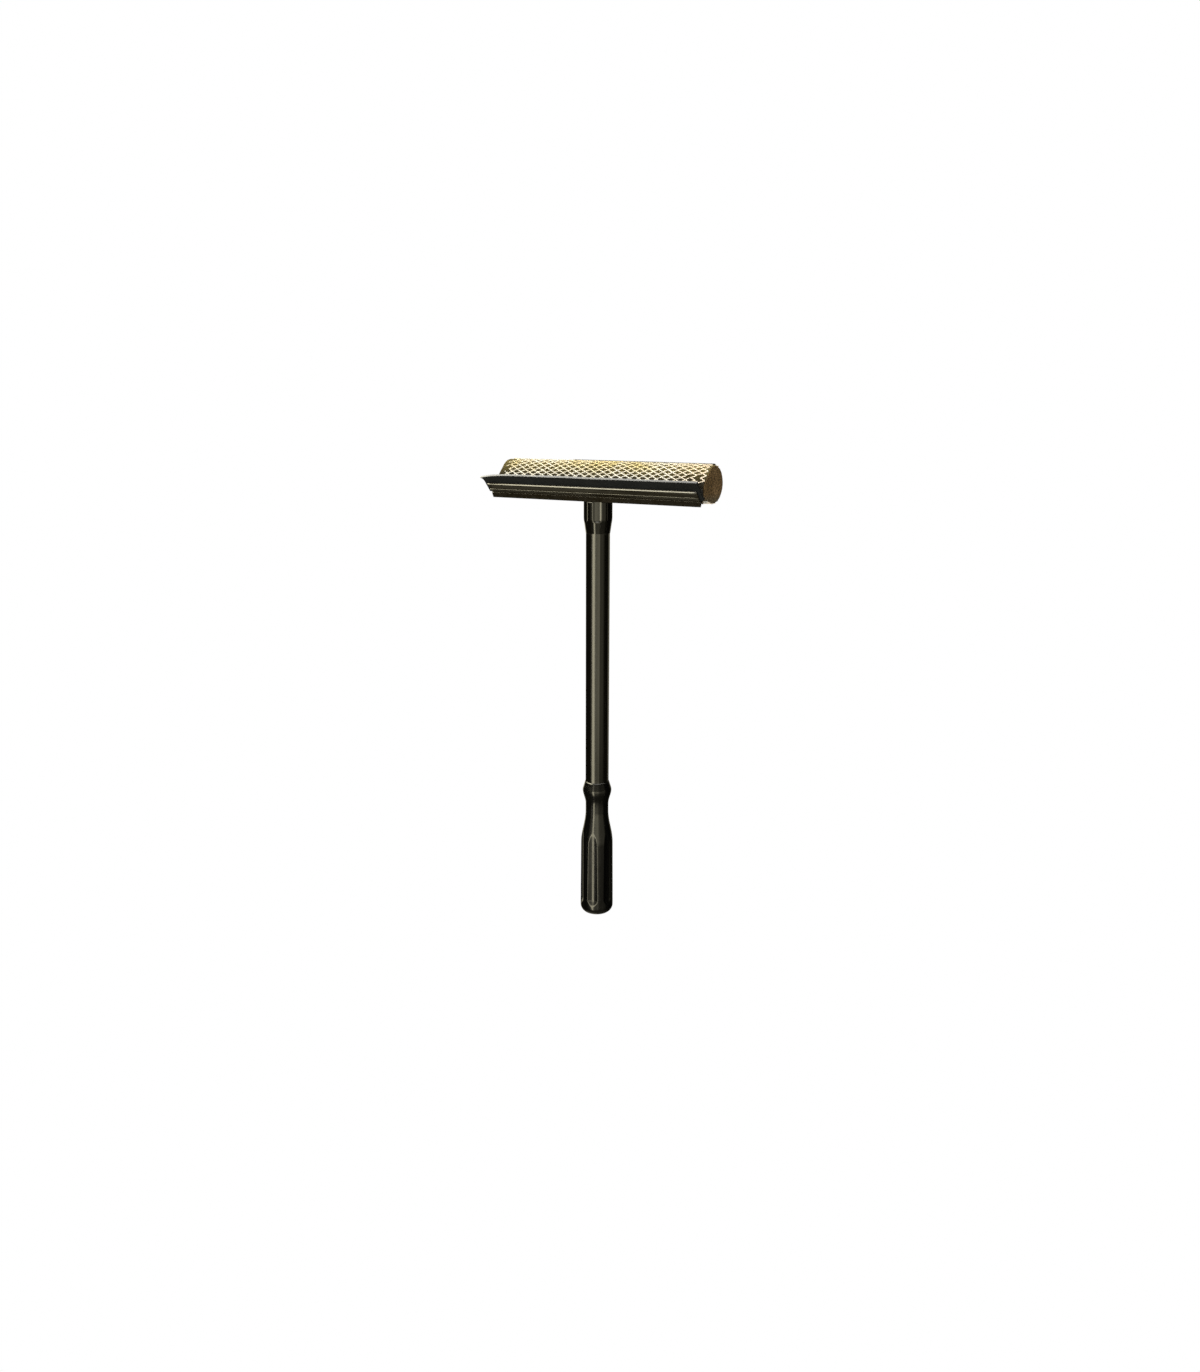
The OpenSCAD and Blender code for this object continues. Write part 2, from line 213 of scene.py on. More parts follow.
def foam_material():
    """Open-celled khaki foam with coarse and fine pores and soiled patches. Its colour goes
    by place: the roll painted dark as its shade and lighter olive along the top as painted light
    from above, painted shadow of the blade low on the front, brown at the cut ends, pale neck.
    The pores are painted darker as the shade inside them."""
    def build(n):
        where = n.place()
        coarse = n.cells(n.place((1, 1.15, 0.95)), 1150)
        fine = n.cells(where, 2900)
        pores = n.math("MULTIPLY", n.span(coarse, 0.08, 0.40, 0.25, 1.0),
                       n.span(fine, 0.1, 0.4, 0.55, 1.0))
        soil = n.span(n.noise(where, 46, 5, 0.68, 0.5), 0.38, 0.66)
        axes = n.add("ShaderNodeSeparateXYZ", {0: where}).outputs
        neck = n.span(axes[2], head_z * MM + 0.010, head_z * MM + 0.004)
        front = n.span(axes[1], -0.0005, -0.0045)
        top = n.span(axes[2], (head_z + 19) * MM, (head_z + 31) * MM)
        ends = n.span(n.math("ABSOLUTE", axes[0]), 0.1006, 0.1013)
        shaded = n.math("MULTIPLY", front, n.math("SUBTRACT", 1.0, ends))
        # Painted shade and light: the roll is coloured dark as its shade under the net, and lighter
        # olive along the top as light from above.
        roll = n.mix(soil, (0.007, 0.006, 0.003), (0.026, 0.020, 0.009))
        roll = n.mix(n.math("MULTIPLY", top, 0.9), roll, (0.190, 0.150, 0.048))
        cut = n.mix(soil, (0.115, 0.070, 0.026), (0.205, 0.128, 0.056))
        body = n.mix(ends, roll, cut)
        body = n.mix(neck, body, (0.125, 0.094, 0.052))
        # Painted shadow of the blade: the foam's front, away from the cut ends, is coloured darker.
        body = n.mix(n.math("MULTIPLY", shaded, 0.75), body, (0.010, 0.008, 0.004))
        # Painted shade in the pores: they are coloured darker than the foam round them.
        colour = n.mix(pores, (0.012, 0.009, 0.005), body)
        ragged = n.bump(n.noise(where, 2400, 3, 0.7), 0.10, 0.6)
        return {"Base Color": colour, "Normal": n.bump(pores, 0.55, 0.9, under=ragged)}
    return finish_material("foam", build, Roughness=0.96, Specular_IOR_Level=0.15)


def net_material():
    """Cream twisted yarn, yellower along the top and peach towards the right end, the grooves of its
    twist painted darker as shade.
    """
    def build(n):
        yarn = n.add("ShaderNodeTexCoord").outputs["UV"]
        twist = n.add("ShaderNodeTexWave", {"Vector": yarn, "Scale": 1.0, "Distortion": 0.6,
                                            "Detail": 1.0},
                      wave_type="BANDS", bands_direction="DIAGONAL").outputs[1]
        where = n.place()
        axes = n.add("ShaderNodeSeparateXYZ", {0: where}).outputs
        patches = n.noise(where, 34, 4, 0.6, 0.6)
        cream = n.mix(n.span(patches, 0.3, 0.7), (0.92, 0.90, 0.82), (0.84, 0.80, 0.68))
        top = n.span(axes[2], (head_z + 19) * MM, (head_z + 30) * MM)
        yellow = n.math("MULTIPLY", top, n.span(patches, 0.36, 0.62, 0.25, 1.0))
        colour = n.mix(n.math("MULTIPLY", yellow, 0.95), cream, (0.66, 0.51, 0.15))
        right = n.span(axes[0], 0.055, 0.098)
        colour = n.mix(n.math("MULTIPLY", right, 0.55), colour, (0.86, 0.66, 0.45))
        grime = n.span(n.noise(where, 210, 4, 0.7), 0.56, 0.74)
        colour = n.mix(n.math("MULTIPLY", grime, 0.5), colour, (0.34, 0.28, 0.17))
        # Painted shade in the twist: the yarn is coloured darker in its grooves, where the bump is
        # low.
        colour = n.mix(n.span(twist, 0.0, 0.5, 0.45, 0.0), colour, (0.45, 0.38, 0.24))
        fibres = n.bump(n.noise(where, 5200, 2, 0.7), 0.03, 0.5)
        return {"Base Color": colour, "Normal": n.bump(twist, 0.12, 0.8, under=fibres)}
    return finish_material("net_yarn", build, Roughness=0.62, Sheen_Weight=0.15)


def thread_material():
    """Dark thread, its twist's grooves painted darker as shade than its ridges."""
    def build(n):
        yarn = n.add("ShaderNodeTexCoord").outputs["UV"]
        twist = n.add("ShaderNodeTexWave", {"Vector": yarn, "Scale": 1.4, "Distortion": 0.4},
                      wave_type="BANDS", bands_direction="DIAGONAL").outputs[1]
        # Painted shade of the twist: the thread is coloured darker in its grooves than on its
        # ridges.
        colour = n.mix(twist, (0.006, 0.005, 0.004), (0.022, 0.020, 0.015))
        return {"Base Color": colour, "Normal": n.bump(twist, 0.08, 0.8)}
    return finish_material("dark_thread", build, Roughness=0.8)


def pale_plastic():
    """The sponge rail's off-white plastic, with handling dirt."""
    def build(n):
        where = n.place()
        dirt = n.span(n.noise(where, 160, 5, 0.7), 0.42, 0.7)
        colour = n.mix(dirt, (0.62, 0.60, 0.53), (0.34, 0.30, 0.22))
        return {"Base Color": colour,
                "Roughness": n.span(n.noise(where, 300, 3), 0.3, 0.7, 0.38, 0.6),
                "Normal": n.bump(n.noise(n.place((20, 900, 900)), 1, 2), 0.02)}
    return finish_material("pale_plastic", build)


def steel_material():
    """Bright drawn steel with fine lines and a few dull spots."""
    def build(n):
        where = n.place()
        lines = n.noise(n.place((60, 2600, 2600)), 1, 3, 0.6)
        spots = n.span(n.noise(where, 900, 4, 0.7), 0.56, 0.7)
        colour = n.mix(spots, (0.60, 0.59, 0.56), (0.26, 0.19, 0.12))
        rough = n.math("ADD", n.span(lines, 0.3, 0.7, 0.24, 0.40),
                       n.math("MULTIPLY", spots, 0.3), clamp=True)
        return {"Base Color": colour, "Roughness": rough, "Normal": n.bump(lines, 0.006)}
    return finish_material("steel", build, Metallic=1.0)


# ---------------------------------------------------------------- studio
def round_place(degrees):
    """Place on a ramp of an angle round the object, from the camera's side."""
    return 0.5 + degrees / 360


def up_place(degrees):
    """Place on a ramp of a height above the horizon."""
    return 0.5 + math.sin(math.radians(degrees)) / 2


# Strengths of the world's lights, for diffuse rays and for mirrored ones.
STRIP_LIGHT, TOP_LIGHT, LEFT_LIGHT = (13.0, 5.5), (1.3, 8.0), (1.2, 17.0)
LOW_BAR_LIGHT, UNDER_LIGHT = 4.5, 0.45


def make_world():
    """White for the camera, and strip lights and dark flags for the surfaces. The lights
    stand at fixed directions, and mirrored rays see them at other strengths than the rest."""
    world = bpy.data.worlds.new("studio")
    bpy.context.scene.world = world
    n = Nodes(world)
    axes = n.add("ShaderNodeSeparateXYZ",
                 {0: n.add("ShaderNodeTexCoord").outputs["Generated"]}).outputs
    turn = n.math("ARCTAN2", axes[0], n.math("MULTIPLY", axes[1], -1))
    turn = n.math("SUBTRACT", turn, CAMERA_AZIMUTH)
    share = n.add("ShaderNodeMath", {0: turn, 1: math.pi, 2: -math.pi},
                  operation="WRAP").outputs[0]
    share = n.span(share, -math.pi, math.pi)
    stops = [(-180, 0.20), (-150, 0.20), (-138, 0.0), (-66, 0.0), (-58, 0.07), (-38, 0.10),
             (-35, 1.4), (-28, 1.4), (-25, 0.26), (-8, 0.36), (8, 0.40), (17, 0.16),
             (26, 0.10), (60, 0.09), (68, 0.0), (132, 0.0), (144, 0.05), (176, 0.06), (180, 0.20)]
    round_about = n.ramp(share, [(round_place(degrees), grey) for degrees, grey in stops])
    rise = n.span(axes[2], -1, 1)
    window = n.ramp(rise, [(up_place(-50), 0.0), (up_place(-36), 0.2), (up_place(-19), 0.3),
                           (up_place(-14), 1.0), (up_place(4), 1.0), (up_place(16), 0.12)])
    bar = n.ramp(share, [(round_place(-40), 0.0), (round_place(-36), 1.0), (round_place(-27), 1.0),
                         (round_place(-23), 0.0)])
    low_bar = n.ramp(rise, [(up_place(-44), 0.0), (up_place(-34), 1.0), (up_place(-19), 1.0),
                            (up_place(-14), 0.0)])
    above = n.ramp(rise, [(up_place(38), 0.0), (up_place(54), 1.0)])
    from_left = n.ramp(share, [(round_place(-150), 0.0), (round_place(-135), 1.0),
                               (round_place(-60), 1.0), (round_place(-42), 0.0)])
    low_left = n.ramp(rise, [(up_place(16), 0.0), (up_place(26), 1.0), (up_place(46), 1.0),
                             (up_place(56), 0.0)])
    left_box = n.math("MULTIPLY", from_left, low_left)
    below = n.ramp(rise, [(up_place(-58), 1.0), (up_place(-47), 0.16), (up_place(-34), 0.0)])
    paths = n.add("ShaderNodeLightPath").outputs
    low_side = n.ramp(share, [(round_place(-125), 1.0), (round_place(-100), 0.25)])
    mirrored = paths["Is Glossy Ray"]
    strips = n.math("MULTIPLY", n.math("MULTIPLY", round_about, window),
                    n.span(mirrored, 0, 1, *STRIP_LIGHT))
    strips = n.math("ADD", strips,
                    n.math("MULTIPLY", n.math("MULTIPLY", bar, low_bar), LOW_BAR_LIGHT))
    light = n.math("ADD", strips, n.math("MULTIPLY", above, n.span(mirrored, 0, 1, *TOP_LIGHT)))
    light = n.math("ADD", light,
                   n.math("MULTIPLY", left_box, n.span(mirrored, 0, 1, *LEFT_LIGHT)))
    light = n.math("ADD", light,
                   n.math("MULTIPLY", n.math("MULTIPLY", below, low_side), UNDER_LIGHT))
    white = n.math("MAXIMUM", above, n.span(mirrored, 1, 0))
    tint = n.mix(white, (1.0, 0.93, 0.66), (1.0, 0.99, 0.95))
    studio = n.add("ShaderNodeBackground", {"Color": tint, "Strength": light})
    pale = n.add("ShaderNodeBackground", {"Color": (1, 1, 1, 1), "Strength": 1.0})
    both = n.add("ShaderNodeMixShader",
                 {0: paths["Is Camera Ray"], 1: studio.outputs[0], 2: pale.outputs[0]})
    n.add("ShaderNodeOutputWorld", {"Surface": both.outputs[0]})


def make_floor():
    """A plain pale floor under the grip's end. Only the camera sees it, and from above."""
    material = bpy.data.materials.new("pale_floor")
    n = Nodes(material)
    pale = n.add("ShaderNodeEmission", {"Color": (1, 1, 1, 1), "Strength": 1.0})
    clear = n.add("ShaderNodeBsdfTransparent")
    below = n.add("ShaderNodeNewGeometry").outputs["Backfacing"]
    seen = n.math("SUBTRACT", n.add("ShaderNodeLightPath").outputs["Is Camera Ray"], below,
                  clamp=True)
    both = n.add("ShaderNodeMixShader", {0: seen, 1: clear.outputs[0], 2: pale.outputs[0]})
    n.add("ShaderNodeOutputMaterial", {"Surface": both.outputs[0]})
    half = 20.0
    mesh = bpy.data.meshes.new("floor")
    mesh.from_pydata([(-half, -half, 0), (half, -half, 0), (half, half, 0), (-half, half, 0)],
                     [], [(0, 1, 2, 3)])
    mesh.materials.append(material)
    floor = bpy.data.objects.new("floor", mesh)
    bpy.context.scene.collection.objects.link(floor)


# ---------------------------------------------------------------- mesh helpers
def make_piece(name, points, faces, materials, body, slot, stands_for, smooth_angle=None,
               face_material=None, uv=None):
    """A mesh piece from points in millimetres, riding on a body in place of CAD nodes."""
    mesh = bpy.data.meshes.new(name)
    mesh.from_pydata((np.asarray(points, float) * MM).tolist(), [], faces)
    for material in materials:
        mesh.materials.append(material)
    if face_material is not None:
        mesh.polygons.foreach_set("material_index", face_material)
    if uv is not None:
        layer = mesh.uv_layers.new(name="yarn")
        corners = np.zeros(len(mesh.loops), np.int32)
        mesh.loops.foreach_get("vertex_index", corners)
        layer.data.foreach_set("uv", np.asarray(uv, np.float32)[corners].ravel())
    bm = bmesh.new()
    bm.from_mesh(mesh)
    bmesh.ops.recalc_face_normals(bm, faces=bm.faces)
    bm.to_mesh(mesh)
    bm.free()
    mesh.polygons.foreach_set("use_smooth", [True] * len(mesh.polygons))
    if smooth_angle:
        mesh.set_sharp_from_angle(angle=math.radians(smooth_angle))
    piece = bpy.data.objects.new(name, mesh)
    bpy.context.scene.collection.objects.link(piece)
    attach(piece, body)
    if stands_for:
        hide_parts(*stands_for)
    return piece


def softened(node, radius, material, body, segments=3):
    """A CAD node's own shape with its sharp edges rounded, as a new piece."""
    bm = bmesh.new()
    bm.from_mesh(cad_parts[node].data)
    bmesh.ops.remove_doubles(bm, verts=bm.verts, dist=1e-6)
    bmesh.ops.dissolve_limit(bm, angle_limit=math.radians(0.4), verts=bm.verts, edges=bm.edges)
    sharp = [e for e in bm.edges if e.is_manifold and e.calc_face_angle() > math.radians(22)]
    bmesh.ops.bevel(bm, geom=sharp, offset=radius * MM, segments=segments, profile=0.5,
                    affect="EDGES", clamp_overlap=True)
    mesh = bpy.data.meshes.new(node + "_soft")
    bm.to_mesh(mesh)
    bm.free()
    mesh.polygons.foreach_set("use_smooth", [True] * len(mesh.polygons))
    mesh.set_sharp_from_angle(angle=math.radians(35))
    mesh.materials.append(material)
    piece = bpy.data.objects.new(node + "_soft", mesh)
    bpy.context.scene.collection.objects.link(piece)
    weighted = piece.modifiers.new("normals", "WEIGHTED_NORMAL")
    weighted.keep_sharp = True
    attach(piece, body)
    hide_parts(node)


def soft_min(a, b, k):
    """The smaller of a and b, with the corner between them rounded over about k."""
    h = np.clip(0.5 + 0.5 * (b - a) / k, 0, 1)
    return b + (a - b) * h - k * h * (1 - h)


def turned(name, profile, shape, segments, **piece):
    """A closed solid round the Z axis. profile is a loop of (radius, height), open only at
    the axis, and shape(radius, height, turns) gives the radius at every turn."""
    turns = np.arange(segments) * WHOLE_TURN / segments
    points, rings = [], []
    for radius, height in profile:
        if radius == 0:
            rings.append([len(points)])
            points.append((0, 0, height))
            continue
        rings.append(range(len(points), len(points) + segments))
        r = shape(radius, height, turns)
        points += list(zip(r * np.sin(turns), -r * np.cos(turns), np.full(segments, height)))
    faces = []
    pairs = list(zip(rings, rings[1:]))
    if profile[0][0] > 0:
        pairs.append((rings[-1], rings[0]))
    for low, high in pairs:
        for i in range(segments):
            j = (i + 1) % segments
            corners = [low[i % len(low)], low[j % len(low)], high[j % len(high)],
                       high[i % len(high)]]
            faces.append(list(dict.fromkeys(corners)))
    return make_piece(name, points, faces, **piece)


class Flutes:
    """A ring of hollow flutes that run out at both ends."""

    def __init__(self, count, turn, body_r, r, depth, low, high, end, soft):
        self.pitch = WHOLE_TURN / count
        self.turn = math.radians(turn)
        self.axis = body_r - depth + r
        self.run_out = r - depth - 0.4
        self.r, self.low, self.high, self.end, self.soft = r, low, high, end, soft

    def hollow(self, radius, height, turns):
        """radius at every turn, hollowed by the flutes."""
        r = np.interp(height, [self.low, self.low + self.end, self.high - self.end, self.high],
                      [self.run_out, self.r, self.r, self.run_out], left=0, right=0)
        off = (turns - self.turn + self.pitch / 2) % self.pitch - self.pitch / 2
        reach = r * r - (self.axis * np.sin(off)) ** 2
        cut = np.where(reach > 0, self.axis * np.cos(off) - np.sqrt(np.maximum(reach, 0)),
                       self.axis)
        return soft_min(np.full_like(turns, radius), cut, self.soft)


def steps(low, high, step):
    """Heights from low to high about step apart."""
    return np.linspace(low, high, max(2, round(abs(high - low) / step) + 1))


def ease(t):
    return (1 + math.cos(math.pi * t)) / 2


def arc(centre, radius, start, end, count):
    """Points of an arc, from start to end in degrees."""
    return [(centre[0] + radius * math.cos(math.radians(a)),
             centre[1] + radius * math.sin(math.radians(a)))
            for a in np.linspace(start, end, count)]


def rounded(corners, radius, count=4):
    """A loop with each corner replaced by a small arc. radius may be one for all or a list."""
    radii = radius if hasattr(radius, "__len__") else [radius] * len(corners)
    loop = []
    for i, corner in enumerate(corners):
        corner = np.array(corner, float)
        a = np.array(corners[i - 1], float) - corner
        b = np.array(corners[(i + 1) % len(corners)], float) - corner
        la, lb = np.linalg.norm(a), np.linalg.norm(b)
        a, b = a / la, b / lb
        half = math.acos(max(-1.0, min(1.0, float(a @ b)))) / 2
        if radii[i] == 0 or half > math.radians(88):
            loop.append(corner)
            continue
        back = min(radii[i] / math.tan(half), 0.45 * la, 0.45 * lb)
        r = back * math.tan(half)
        middle = corner + (a + b) / np.linalg.norm(a + b) * r / math.sin(half)
        start, end = corner + a * back - middle, corner + b * back - middle
        sweep = math.pi - 2 * half
        side = math.copysign(1, start[0] * end[1] - start[1] * end[0])
        for t in np.linspace(0, 1, count + 1):
            c, s = math.cos(side * sweep * t), math.sin(side * sweep * t)
            loop.append(middle + np.array([start[0] * c - start[1] * s,
                                           start[0] * s + start[1] * c]))
    return np.array(loop)


def outward(loop):
    """The outward unit normal at each point of a loop in the plane."""
    ahead = np.roll(loop, -1, 0) - loop
    ahead /= np.linalg.norm(ahead, axis=1)[:, None]
    mean = ahead + np.roll(ahead, 1, 0)
    mean /= np.linalg.norm(mean, axis=1)[:, None]
    area = np.sum(loop[:, 0] * np.roll(loop[:, 1], -1) - np.roll(loop[:, 0], -1) * loop[:, 1])
    side = math.copysign(1, area)
    return np.stack([mean[:, 1], -mean[:, 0]], 1) * side


def even(loop, step):
    """A loop with its points about step apart, and the length round it."""
    closed = np.vstack([loop, loop[:1]])
    gone = np.concatenate([[0], np.cumsum(np.linalg.norm(np.diff(closed, axis=0), axis=1))])
    at = np.linspace(0, gone[-1], round(gone[-1] / step) + 1)[:-1]
    return np.stack([np.interp(at, gone, closed[:, k]) for k in (0, 1)], 1), gone[-1]


# ---------------------------------------------------------------- handle
GRIP_TOP = node_box("grip")[1][2]
GRIP_R = node_box("grip")[1][0]
head_z = node_box("handle_socket")[1][2]
socket_low = node_box("handle_socket")[0][2]
SHAFT_R = 10.5
BORE_R = 5.5
WAIST_R = 10.2
WAIST = (97.5, 104.0)


def grip_profile():
    """Loop of (radius, height): over the grip's outside, and back down its bore."""
    end_r, waist_low, shoulder, guard_r, guard_top = 7.6, WAIST[0], 30.5, 12.9, 7.2
    cap_r, cap_t, stem_r, tang_r, tang_low, edge = 5.05, 2.0, 3.65, 7.75, 15.0, 0.25
    shoulder_r, shoulder_low = GRIP_R - 0.4, waist_low - shoulder
    loop = [(cap_r, edge), (cap_r + edge, 0.0)]
    loop += [(GRIP_R - end_r * (1 - math.sin(a)), end_r * (1 - math.cos(a)))
             for a in np.radians(np.linspace(0, 90, 13)[1:])]
    loop += [(GRIP_R, z) for z in steps(end_r, 22, 0.8)[1:]]
    loop += [(np.interp(z, [22, shoulder_low], [GRIP_R, shoulder_r]), z)
             for z in steps(22, shoulder_low, 3.0)[1:]]
    loop += [(WAIST_R + (shoulder_r - WAIST_R) * ease(t), waist_low - shoulder * (1 - t))
             for t in np.linspace(0, 1, 36)[1:]]
    loop += [(WAIST_R, z) for z in steps(waist_low, WAIST[1], 2.5)[1:]]
    guard_low = GRIP_TOP - guard_top
    loop += [(guard_r - (guard_r - WAIST_R) * ease(t), WAIST[1] + (guard_low - WAIST[1]) * t)
             for t in np.linspace(0, 1, 14)[1:]]
    rim = SHAFT_R + 0.2
    loop[-1] = (guard_r - 0.12, guard_low - 0.5)
    loop += [(guard_r - 0.05, guard_low), (guard_r - 0.12, guard_low + 0.4)]
    loop += [(rim + (guard_r - rim) * (1 - t), guard_low + guard_top * t)
             for t in np.linspace(0, 1, 9)[1:-1]]
    loop += [(rim + 0.05, GRIP_TOP - 0.15), (rim - 0.1, GRIP_TOP), (tang_r, GRIP_TOP - 0.3)]
    loop += [(tang_r, z) for z in steps(GRIP_TOP - 6, tang_low, 20)]
    loop += [(stem_r, tang_low), (stem_r, cap_t), (cap_r, cap_t)]
    return loop


def make_handle(grip_black, shaft_black):
    flutes = Flutes(6, 15, GRIP_R, 14.0, 1.6, 8.6, WAIST[0] - 12, 6, 0.35)

    def grip_shape(radius, height, turns):
        if radius < WAIST_R - 1:
            return np.full_like(turns, radius)
        return flutes.hollow(radius, height, turns)

    grip = turned("grip_moulding", grip_profile(), grip_shape, 216, materials=[grip_black],
                  body="handle", slot="black_plastic", stands_for=["grip"], smooth_angle=50)
    bore(grip, (0, 0, WAIST[1] + 6), (0, 1, 0), 1.55, 8.0, 16.0)

    crown_r, flat = 25.0, 10.05

    def shaft_shape(radius, height, turns):
        if radius < SHAFT_R:
            return np.full_like(turns, radius)
        pitch = WHOLE_TURN / 8
        middle = crown_r - flat
        def facet(off):
            return np.sqrt(crown_r ** 2 - (middle * np.sin(off)) ** 2) - middle * np.cos(off)
        off = (turns - math.radians(18) + pitch / 2) % pitch - pitch / 2
        return soft_min(facet(off), facet(pitch - np.abs(off)), 0.22) + (radius - SHAFT_R)

    low, tang_low, tang_r = GRIP_TOP, 15.0, 7.7
    loop = [(BORE_R, tang_low), (tang_r, tang_low), (tang_r, low + 0.01), (SHAFT_R, low + 0.02)]
    loop += [(SHAFT_R, z) for z in steps(low + 1, socket_low - 0.4, 6.0)]
    loop += [(SHAFT_R, socket_low - 0.01), (BORE_R, socket_low - 0.01)]
    turned("shaft_moulding", loop, shaft_shape, 192, materials=[shaft_black], body="handle",
           slot="black_plastic", stands_for=["handle_shaft"], smooth_angle=50)

    collar_r, taper = 12.3, 11.0
    collar = Flutes(6, 27, collar_r, 13.0, 1.2, socket_low + taper - 3, head_z + 3, 3, 0.3)

    def collar_shape(radius, height, turns):
        if radius < SHAFT_R:
            return np.full_like(turns, radius)
        return collar.hollow(radius, height, turns)

    loop = [(0, socket_low + 17), (BORE_R, socket_low + 17), (BORE_R, socket_low + 0.01),
            (SHAFT_R, socket_low + 0.01)]
    for z in steps(socket_low + 0.5, head_z - 0.3, 0.45):
        up = z - socket_low
        loop.append((np.interp(up, [0, taper - 2.4, taper - 0.8, taper + 0.8, taper + 2.4],
                               [SHAFT_R, 11.75, 12.02, 12.22, collar_r]), z))
    loop += [(collar_r - 0.25, head_z - 0.01), (0, head_z - 0.01)]
    socket = turned("socket_moulding", loop, collar_shape, 192, materials=[shaft_black],
                    body="handle", slot="black_plastic", stands_for=["handle_socket"],
                    smooth_angle=50)
    bore(socket, (0, 0, socket_low + 7), (0, 1, 0), 2.9, 8.6, 16.0)
    bore(socket, (0, 0, socket_low + 7), (0, 1, 0), 1.52, 2.0, 16.0)
    for side in (-1, 1):
        bore(socket, (6.5 * side, -2, head_z), (0, 0, 1), 1.52, -8.0, 4.0)


def bore(piece, at, along, radius, start, end):
    """Cuts a round hole into a piece, from start to end along an axis through a point."""
    bm = bmesh.new()
    bmesh.ops.create_cone(bm, cap_ends=True, segments=40, radius1=radius * MM,
                          radius2=radius * MM, depth=(end - start) * MM)
    mesh = bpy.data.meshes.new("cutter")
    bm.to_mesh(mesh)
    bm.free()
    cutter = bpy.data.objects.new("cutter", mesh)
    bpy.context.scene.collection.objects.link(cutter)
    direction = Vector(along)
    middle = (Vector(at) + direction * (start + end) / 2) * MM
    cutter.matrix_world = (Matrix.Translation(middle)
                           @ direction.to_track_quat("Z", "Y").to_matrix().to_4x4())
    cut = piece.modifiers.new("bore", "BOOLEAN")
    cut.object = cutter
    cut.solver = "EXACT"
    settle(piece)
    bpy.data.objects.remove(cutter)


def settle(piece):
    """Applies a piece's modifiers to its mesh."""
    bpy.context.view_layer.update()
    graph = bpy.context.evaluated_depsgraph_get()
    mesh = bpy.data.meshes.new_from_object(piece.evaluated_get(graph))
    piece.modifiers.clear()
    piece.data = mesh


# ---------------------------------------------------------------- blade
BLADE_Y, BLADE_UP, BLADE_TILT = -11.3, 5.7, math.radians(42)
BLADE_T, BLADE_TOP, JAW_TOP = 2.0, 19.3, 10.2


def from_blade(t, s):
    """(y, z) of a point t towards the sponge and s towards the wiping edge."""
    return (BLADE_Y + t * math.cos(BLADE_TILT) - s * math.sin(BLADE_TILT),
            head_z + BLADE_UP + t * math.sin(BLADE_TILT) + s * math.cos(BLADE_TILT))


def make_blade(face_rubber, cut_rubber_and_highlight):
    half = node_box("rubber_blade")[1][0]
    rib_r, rib = 1.35, (1.4, 0.3)
    around = math.degrees(math.asin((BLADE_T - rib[0]) / rib_r))
    loop = [(0.0, -0.75), (0.0, 3), (0.0, 6)]
    loop += [(0.0, s) for s in steps(JAW_TOP + 0.3, BLADE_TOP - 0.18, 0.8)]
    loop += [(0.06, BLADE_TOP - 0.05), (0.2, BLADE_TOP)]
    front_count = len(loop)
    loop += [(0.7, BLADE_TOP), (1.3, BLADE_TOP), (BLADE_T - 0.2, BLADE_TOP),
             (BLADE_T - 0.06, BLADE_TOP - 0.05)]
    back_start = len(loop) - 1
    loop += [(BLADE_T, s) for s in steps(BLADE_TOP - 0.18, 1.9, 1.2)]
    loop += [(rib[0] + rib_r * math.sin(math.radians(a)), rib[1] + rib_r * math.cos(math.radians(a)))
             for a in np.linspace(around, 231, 12)]
    loop = np.array(loop)
    xs = np.concatenate([[-half, -half + 0.06], np.linspace(-half + 0.25, half - 0.25, 210),
                         [half - 0.06, half]])
    inset = np.concatenate([[0.18, 0.05], np.zeros(210), [0.05, 0.18]])
    push = outward(loop)
    points = []
    for x, d in zip(xs, inset):
        t, s = (loop - push * d).T
        free = np.clip((s - JAW_TOP - 0.3) / (BLADE_TOP - JAW_TOP - 0.3), 0, 1)
        wave = noise.noise(Vector((x / 34, 0.7, 3.1))) * 0.35
        droop = 2.8 * math.exp(-(x + half) / 11) + 0.2 * math.exp(-(half - x) / 12)
        t = t - free ** 2 * (droop + wave)
        s = s - free ** 2 * 0.35 * droop
        y, z = from_blade(t, s)
        points += list(zip(np.full(len(y), x), y, z))
    n = len(loop)
    faces, kinds = [], []
    for k in range(len(xs) - 1):
        for i in range(n):
            j = (i + 1) % n
            faces.append((k * n + i, k * n + j, (k + 1) * n + j, (k + 1) * n + i))
            # The faces along the top cut edge take the lighter rubber: partly chalky wear on the cut
            # face, partly a painted highlight along the lit top edge.
            kinds.append(int(front_count - 2 <= i < back_start + 1 and 0 < k < len(xs) - 2))
    faces += [tuple(range(n)), tuple(range((len(xs) - 1) * n, len(xs) * n))]
    kinds += [0, 0]
    make_piece("wiping_blade", points, faces, [face_rubber, cut_rubber_and_highlight], "blade_refill",
               "blade_rubber", ["rubber_blade"], smooth_angle=40, face_material=kinds)


def swept(name, loop, half, bow, **piece):
    """A piece with the section loop, of points (t, s) off the blade's root, along X."""
    loop = np.array(loop)
    push = outward(loop)
    ends = [(-half, 0.2), (-half + 0.05, 0.07), (-half + 0.2, 0.0)]
    stations = ends + [(x, 0.0) for x in np.linspace(-half + 4, half - 4, 40)]
    stations += [(-x, d) for x, d in ends[::-1]]
    points = []
    for x, d in stations:
        bend = abs(bow * noise.noise(Vector((x / 45, 4.4, 0.3))))
        t, s = (loop - push * d).T
        y, z = from_blade(t - bend * np.clip((loop[:, 1] - 3) / 6, 0, 1), s)
        points += list(zip(np.full(len(y), x), y, z))
    count = len(loop)
    faces = [(k * count + i, k * count + (i + 1) % count, (k + 1) * count + (i + 1) % count,
              (k + 1) * count + i) for k in range(len(stations) - 1) for i in range(count)]
    faces += [tuple(range(count)), tuple(range(len(points) - count, len(points)))]
    make_piece(name, points, faces, smooth_angle=42, **piece)


